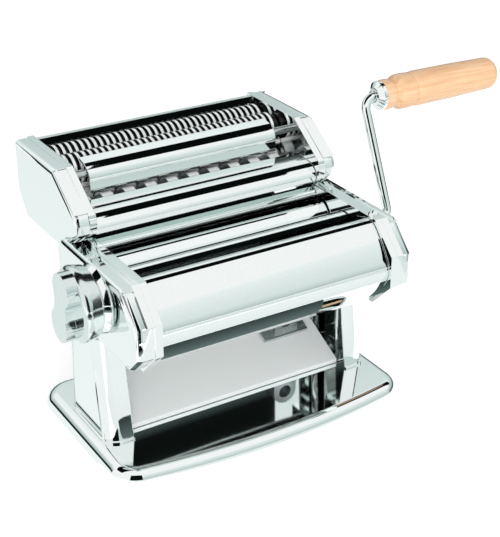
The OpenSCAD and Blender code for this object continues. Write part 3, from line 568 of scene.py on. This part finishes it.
class PASTA_OT_base(bpy.types.Operator):
    """Presses the base tray with its rolled edge and dresses its feet"""
    bl_idname = "pasta.base"
    bl_label = "Base"

    def execute(self, context):
        sizes = context.scene.pasta_sizes
        tray = pressed_tray("base_tray", base_outline(), BASE_HEIGHT_MM, sizes.base_roll / MM)
        round_edges(tray, 0.25, angle=60, smooth=30)
        finish_piece(tray, "base_plate")
        rounded_copy("feet", 0.6)
        return {"FINISHED"}


class PASTA_OT_stand(bpy.types.Operator):
    """Dresses the legs, the ramp and the clamp's lug"""
    bl_idname = "pasta.stand"
    bl_label = "Stand"

    def execute(self, context):
        edge = context.scene.pasta_sizes.sheet_edge / MM
        for node in ("left_leg", "right_leg"):
            round_long_edges(node, edge, length_mm=5, turn=60)
        rounded_copy("chute", edge, clamp=False)
        for node in ("clamp_lug", "leg_screws", "lug_screws"):
            rounded_copy(node, 0.4)
        return {"FINISHED"}


def front_cover_path():
    """Side view of the front cover in mm: a nose between two bulged slopes, then the lip to the rollers."""
    nose, nose_r, bulge_r, brow_r = (-49.7, 97.0), 12.0, 80.0, 8.0
    foot_at, low_at, high_at, brow_at, lip_at = 227.9, 210, 150, 134.3, 74
    lip_end = (-29.0, 119.4)
    high = offset(nose, nose_r - bulge_r, high_at)
    low = (high[0], 2 * nose[1] - high[1])
    brow = offset(high, bulge_r - brow_r, brow_at)
    return (arc(low, bulge_r, foot_at, low_at, 14)[:-1] + arc(nose, nose_r, low_at, high_at, 20)
            + arc(high, bulge_r, high_at, brow_at, 12)[1:] + arc(brow, brow_r, brow_at, lip_at, 12)[1:]
            + [lip_end])


# Rolled rims in mm: x of their steps, radius of the roll, and holes (y, z, radius) that it keeps clear of
CASING_RIM = ((89, 91.8, 93), 0.9, [(-16, 105, 14)])
CAP_RIM = ((87, 89.1, 90), 0.75, [(45.9, 129, 8), (65.9, 149, 8)])


class PASTA_OT_housing(bpy.types.Operator):
    """Dresses the side plates, the end casings and the covers"""
    bl_idname = "pasta.housing"
    bl_label = "Housing"

    def execute(self, context):
        sizes = context.scene.pasta_sizes
        for node in ("left_side_plate", "right_side_plate"):
            rounded_copy(node, sizes.plate_edge / MM)
        for node in ("left_casing", "right_casing"):
            round_rim(node, *CASING_RIM)
        cover = sheet_piece("front_cover_sheet", front_cover_path(), *span_of("front_cover"), -1)
        round_edges(cover, sizes.sheet_edge / MM, angle=60, smooth=35)
        finish_piece(cover, "front_cover")
        rounded_copy("rear_cover", sizes.sheet_edge / MM)
        rounded_copy("tie_rods", 0.3)
        return {"FINISHED"}


class PASTA_OT_rollers(bpy.types.Operator):
    """Dresses the two smooth rollers and what holds them"""
    bl_idname = "pasta.rollers"
    bl_label = "Rollers"

    def execute(self, context):
        for node in ("front_roller", "rear_roller"):
            rounded_copy(node, 0.4)
        for node in ("front_scraper", "rear_scraper", "carriage_bar", "left_bearing_plate",
                     "right_bearing_plate"):
            rounded_copy(node, 0.2)
        return {"FINISHED"}


# Half sections of the boss round the knob's spindle and of the grip's ferrule: (x, radius) in mm
BOSS = [(-93, 5.3), (-93, 21), (-96.5, 19), (-97.5, 17.5), (-97.5, 5.3), (-93, 5.3)]
FERRULE = [(119.5, 3.1), (119.5, 5.5), (122.1, 9.27), (124.5, 9.27), (124.5, 3.1), (119.5, 3.1)]


class PASTA_OT_knob(bpy.types.Operator):
    """Turns the boss and dresses the thickness knob"""
    bl_idname = "pasta.knob"
    bl_label = "Knob"

    def execute(self, context):
        boss = turned_piece("boss_ring", BOSS, axis_of("knob_boss"))
        round_edges(boss, 0.5)
        finish_piece(boss, "knob_boss")
        knob = rounded_copy("thickness_knob", 2.4, segments=6, angle=50)
        # The knob's greyer chrome is painted shade
        knob.data.materials[0] = MATERIALS["knob_chrome"]
        return {"FINISHED"}


# The grip, (x, radius) in mm: its bore, the room for the rod's rivet, two beads with a neck between, and a
# barrel with a round end
GRIP = ([(203.3, 0), (203.3, 4.5), (201.2, 4.5), (201.2, 3.1), (124.5, 3.1), (124.5, 8.8)]
        + [(125.2, 9.3), (126.6, 9.65), (128.6, 9.7), (130.4, 9.45), (131.8, 8.95), (132.8, 8.62)]
        + [(133.4, 8.6), (134.0, 8.9), (134.8, 9.7), (136.0, 10.6), (137.4, 11.1), (139.0, 11.3)]
        + [(142.0, 11.3), (144.6, 11.15), (146.2, 10.95), (147.0, 10.7), (147.5, 10.42), (148.0, 10.7)]
        + [(148.7, 11.0), (150.4, 11.2), (152, 11.3), (165, 11.25), (184.5, 11.02), (200, 10.6)]
        + arc((209.5, 4.4), 6, 90, 0, 12) + [(215.5, 0)])


class PASTA_OT_crank(bpy.types.Operator):
    """Dresses the crank's rod and turns the grip and its ferrule"""
    bl_idname = "pasta.crank"
    bl_label = "Crank"

    def execute(self, context):
        rounded_copy("crank_rod", 0.3)
        ferrule = turned_piece("ferrule_cup", FERRULE, axis_of("grip_ferrule"))
        round_edges(ferrule, 0.4)
        finish_piece(ferrule, "grip_ferrule")
        grip = turned_piece("turned_grip", GRIP, axis_of("crank_grip"))
        round_edges(grip, 0.3, angle=60, smooth=50)
        finish_piece(grip, "crank_grip")
        return {"FINISHED"}


GROOVE_R_MM = 9.2   # faces deeper than this lie in a cutting roller's grooves


class PASTA_OT_cutter(bpy.types.Operator):
    """Dresses the cutter's plates, caps, guides and rollers"""
    bl_idname = "pasta.cutter"
    bl_label = "Cutter"

    def execute(self, context):
        sizes = context.scene.pasta_sizes
        for node in ("cutter_left_plate", "cutter_right_plate"):
            rounded_copy(node, sizes.plate_edge / MM)
        for node in ("cutter_left_cap", "cutter_right_cap"):
            round_rim(node, *CAP_RIM)
        for node in ("cutter_front_guide", "cutter_middle_guide", "cutter_rear_cover"):
            rounded_copy(node, sizes.sheet_edge / MM)
        for node in ("narrow_front_roller", "narrow_back_roller", "wide_front_roller", "wide_back_roller"):
            roller = rounded_copy(node, 0.2, segments=2)
            # The grooves take darker steel than the lands: painted shade in the grooves
            paint_groove_shade(roller, GROOVE_R_MM, "groove_steel" if node.startswith("narrow") else "plain_steel")
        for node in ("narrow_combs", "wide_combs"):
            rounded_copy(node, 0.15, segments=2)
        rounded_copy("cutter_rods", 0.3)
        return {"FINISHED"}


class PASTA_OT_stage(bpy.types.Operator):
    """Lays the floor, hangs the lamps and places the camera"""
    bl_idname = "pasta.stage"
    bl_label = "Stage"

    def execute(self, context):
        settings = context.scene.pasta_stage
        lay_floor(settings.floor_size)
        light_room(settings.fill)
        hang_lamp("key", (-0.3, -0.5, 1.6), (1.6, 1.6), settings.key)
        hang_lamp("front", (-0.5, -1.6, 0.5), (1.4, 0.8), settings.front)
        for card in CARDS:
            hang_card(*card)
        place_camera()
        context.scene.view_settings.view_transform = "Standard"
        return {"FINISHED"}


def seen(tree):
    """A socket that is 1 for rays from the camera, a mirror or clear glass."""
    path = add_node(tree, "ShaderNodeLightPath")
    camera, mirror, glass = (path.outputs[f"Is {kind} Ray"] for kind in ("Camera", "Glossy", "Transmission"))
    both = add_node(tree, "ShaderNodeMath", links={0: camera, 1: mirror}, operation="ADD").outputs[0]
    links = {0: both, 1: glass}
    return add_node(tree, "ShaderNodeMath", links=links, operation="ADD", use_clamp=True).outputs[0]


FLOOR_GLOW = 0.44


def lay_floor(size):
    """A pale floor that keeps the shadow, with a little light of its own towards the camera."""
    deselect()
    bpy.ops.mesh.primitive_plane_add(size=size, location=(0, 0, 0))
    floor = bpy.context.object
    floor.name = "floor"
    bpy.ops.object.mode_set(mode="EDIT")
    bpy.ops.mesh.subdivide(number_cuts=3)
    bpy.ops.object.mode_set(mode="OBJECT")
    material, tree = empty_material("painted_white_board")
    # Paint texture 3 mm across, too faint to draw the eye
    grain = add_noise(tree, object_place(tree), 330.0, 2.0)
    tone = add_tones(tree, grain, [(0.3, linear("#F4F4F4")), (0.7, linear("#F8F8F8"))])
    paint = add_node(tree, "ShaderNodeBsdfDiffuse", links={"Color": tone})
    part = add_node(tree, "ShaderNodeMath", {1: FLOOR_GLOW}, {0: seen(tree)}, operation="MULTIPLY")
    glow = add_node(tree, "ShaderNodeEmission", {"Color": (1, 1, 1, 1)}, {"Strength": part.outputs[0]})
    both = add_node(tree, "ShaderNodeAddShader", links={0: paint.outputs[0], 1: glow.outputs[0]})
    add_node(tree, "ShaderNodeOutputMaterial", links={"Surface": both.outputs[0]})
    floor.data.materials.append(material)


def light_room(fill):
    """A white room: full white where it is seen, a softer fill where it lights."""
    world = bpy.data.worlds.new("white_room")
    bpy.context.scene.world = world
    world.use_nodes = True
    tree = world.node_tree
    tree.nodes.clear()
    strength = add_range(tree, seen(tree), 0.0, 1.0, fill, 1.0)
    room = add_node(tree, "ShaderNodeBackground", {"Color": (1, 1, 1, 1)}, {"Strength": strength})
    add_node(tree, "ShaderNodeOutputWorld", links={"Surface": room.outputs["Background"]})


LAMP_AIM = Vector((0, 0, 0.09))


def hang_lamp(name, place, size, power):
    """A soft area lamp that points at the machine."""
    bpy.ops.object.light_add(type="AREA", location=place)
    lamp = bpy.context.object
    lamp.name = name
    lamp.data.shape = "RECTANGLE"
    lamp.data.size, lamp.data.size_y = size
    lamp.data.energy = power
    lamp.visible_camera = False
    lamp.visible_glossy = False
    lamp.rotation_euler = (LAMP_AIM - Vector(place)).to_track_quat("-Z", "Y").to_euler()


def hang_card(name, place, across, up, stops, clear_back=False):
    """A card graded from its foot to its top, seen only in the metal, where it draws the bands of tone."""
    across, up = Vector(across), Vector(up)
    deselect()
    bpy.ops.mesh.primitive_plane_add(size=1, location=(0, 0, 0))
    card = bpy.context.object
    card.name = name
    bpy.ops.object.mode_set(mode="EDIT")
    bpy.ops.mesh.select_all(action="SELECT")
    bpy.ops.transform.resize(value=(across.length, up.length, 1))
    bpy.ops.object.mode_set(mode="OBJECT")
    axes = (across.normalized(), up.normalized(), across.cross(up).normalized())
    card.rotation_euler = Matrix(axes).transposed().to_euler()
    card.location = place
    material, tree = empty_material(name + "_paper")
    spot = add_node(tree, "ShaderNodeSeparateXYZ", links={0: object_place(tree)})
    rise = add_range(tree, spot.outputs["Y"], -up.length / 2, up.length / 2, 0.0, 1.0)
    tone = add_tones(tree, rise, [(position, linear(code)) for position, code in stops])
    face = add_node(tree, "ShaderNodeEmission", links={"Color": tone}).outputs["Emission"]
    if clear_back:
        side = add_node(tree, "ShaderNodeNewGeometry").outputs["Backfacing"]
        clear = add_node(tree, "ShaderNodeBsdfTransparent").outputs["BSDF"]
        face = add_node(tree, "ShaderNodeMixShader", links={0: side, 1: face, 2: clear}).outputs["Shader"]
    add_node(tree, "ShaderNodeOutputMaterial", links={"Surface": face})
    card.data.materials.append(material)
    card.visible_camera = False
    card.visible_diffuse = False
    card.visible_shadow = False


# Each card's name, centre, width and height in metres, its tones from foot to top, and if its back is clear
BLACK, SOFT_BLACK = "#070C0B", "#0A0F0E"
CARDS = (
    ("back_card", (0.84, 1.36, 0.85), (3.58, -2.19, 0), (0, 0, 1.7),
     ((0.0, "#0E1716"), (0.2, "#364645"), (0.32, "#BCCBC9"), (0.55, "#D6E1E0"), (0.8, "#F6FCFB"))),
    ("left_card", (-0.95, 1.45, 0.5), (1.34, 0.88, 0), (0, 0, 1.0),
     ((0.0, SOFT_BLACK), (0.35, "#22302F"), (0.45, "#B4C3C1"), (1.0, "#E6EFEE"))),
    ("front_card", (0.95, -1.55, 0.75), (3.06, 1.87, 0), (0, 0, 1.5),
     ((0.0, "#B9C6C5"), (0.3, "#D3DFDD"), (0.7, "#E6EFEE"), (1.0, "#F6FCFB"))),
    ("camera_card", (-0.64, -1.13, 0.6), (0.88, -0.5, 0), (0, 0, 1.2),
     ((0.0, SOFT_BLACK), (1.0, SOFT_BLACK))),
    ("camera_floor_card", (-0.335, -0.555, 0.0015), (0.43, -0.26, 0), (-0.36, -0.58, 0),
     ((0.0, "#8FA09E"), (0.2, SOFT_BLACK))),
    ("top_card", (0.5, 0.44, 1.3), (4.0, 0, 0), (0, 0.8, 0), ((0.0, BLACK), (1.0, BLACK))),
    ("guide_card", (0.076, 0.015, 0.3), (0.156, 0, 0), (0, 0.07, 0), ((0.0, BLACK), (1.0, BLACK))),
    # The bay, rear and tray cards sit inside and under the machine: dark sheets that paint its shade into the
    # reflections of the metal round them
    ("bay_card", (0.0, 0.058, 0.08), (0.15, 0, 0), (0, 0, 0.07), ((0.0, "#6F8281"), (0.4, SOFT_BLACK))),
    ("rear_card", (0, 0.0917, 0.1575), (-0.15, 0, 0), (0, 0, 0.007), ((0.0, BLACK), (1.0, BLACK)), True),
    ("tray_card", (-0.002, -0.034, 0.0105), (0.16, 0, 0), (0, 0.06, 0),
     ((0.0, "#2C3736"), (1.0, "#6E7F7D")), True),
    ("right_floor_card", (0.4, -0.65, 0.001), (1.02, 0.62, 0), (0.42, -0.68, 0),
     ((0.0, "#EAF2F1"), (1.0, "#D2DEDC"))),
    ("left_floor_card", (-0.28, 0.36, 0.001), (0.68, 0.42, 0), (-0.43, 0.72, 0),
     ((0.0, "#FAFFFE"), (1.0, "#EEF6F5"))),
    ("near_floor_card", (0.1, -0.18, 0.0005), (0.5, 0, 0), (0, -0.22, 0),
     ((0.0, "#F0F6F5"), (0.4, "#F8FDFC"))),
    ("right_card", (1.5, 0.3, 0.4), (0, -2.4, 0), (0, 0, 0.8),
     ((0.0, "#1A2625"), (0.3, "#5C6E6C"), (0.6, "#C8D5D3"))),
)

CAMERA_AT = (-0.3511, -0.6018, 0.4424)
CAMERA_BACK = (-0.4673, -0.7617, 0.4487)
LENS_MM = 86.23


def place_camera():
    """The camera at the photograph's place, without shift or blur."""
    bpy.ops.object.camera_add(location=CAMERA_AT)
    camera = bpy.context.object
    camera.name = "camera"
    camera.data.lens = LENS_MM
    camera.data.sensor_width = 36
    camera.data.clip_start = 0.01
    camera.rotation_euler = Vector(CAMERA_BACK).to_track_quat("Z", "Y").to_euler()
    bpy.context.scene.camera = camera


OPERATORS = (PASTA_OT_finishes, PASTA_OT_base, PASTA_OT_stand, PASTA_OT_housing, PASTA_OT_rollers,
             PASTA_OT_knob, PASTA_OT_crank, PASTA_OT_cutter, PASTA_OT_stage)


class PASTA_PT_panel(bpy.types.Panel):
    """Lists the machine's settings and operators"""
    bl_idname = "PASTA_PT_panel"
    bl_label = "Pasta Machine"
    bl_space_type = "VIEW_3D"
    bl_region_type = "UI"
    bl_category = "Pasta Machine"

    def draw(self, context):
        for group in (context.scene.pasta_sizes, context.scene.pasta_colours, context.scene.pasta_stage):
            for name in group.__annotations__:
                self.layout.prop(group, name)
        for operator in OPERATORS:
            self.layout.operator(operator.bl_idname)


CLASSES = (PastaSizes, PastaColours, PastaStage) + OPERATORS + (PASTA_PT_panel,)


def register():
    for cls in CLASSES:
        bpy.utils.register_class(cls)
    bpy.types.Scene.pasta_sizes = bpy.props.PointerProperty(type=PastaSizes)
    bpy.types.Scene.pasta_colours = bpy.props.PointerProperty(type=PastaColours)
    bpy.types.Scene.pasta_stage = bpy.props.PointerProperty(type=PastaStage)


def unregister():
    del bpy.types.Scene.pasta_stage
    del bpy.types.Scene.pasta_colours
    del bpy.types.Scene.pasta_sizes
    for cls in reversed(CLASSES):
        bpy.utils.unregister_class(cls)


def main():
    register()
    bpy.ops.pasta.finishes()
    bpy.ops.pasta.base()
    bpy.ops.pasta.stand()
    bpy.ops.pasta.housing()
    bpy.ops.pasta.rollers()
    bpy.ops.pasta.knob()
    bpy.ops.pasta.crank()
    bpy.ops.pasta.cutter()
    bpy.ops.pasta.stage()


if __name__ == "__main__":
    main()
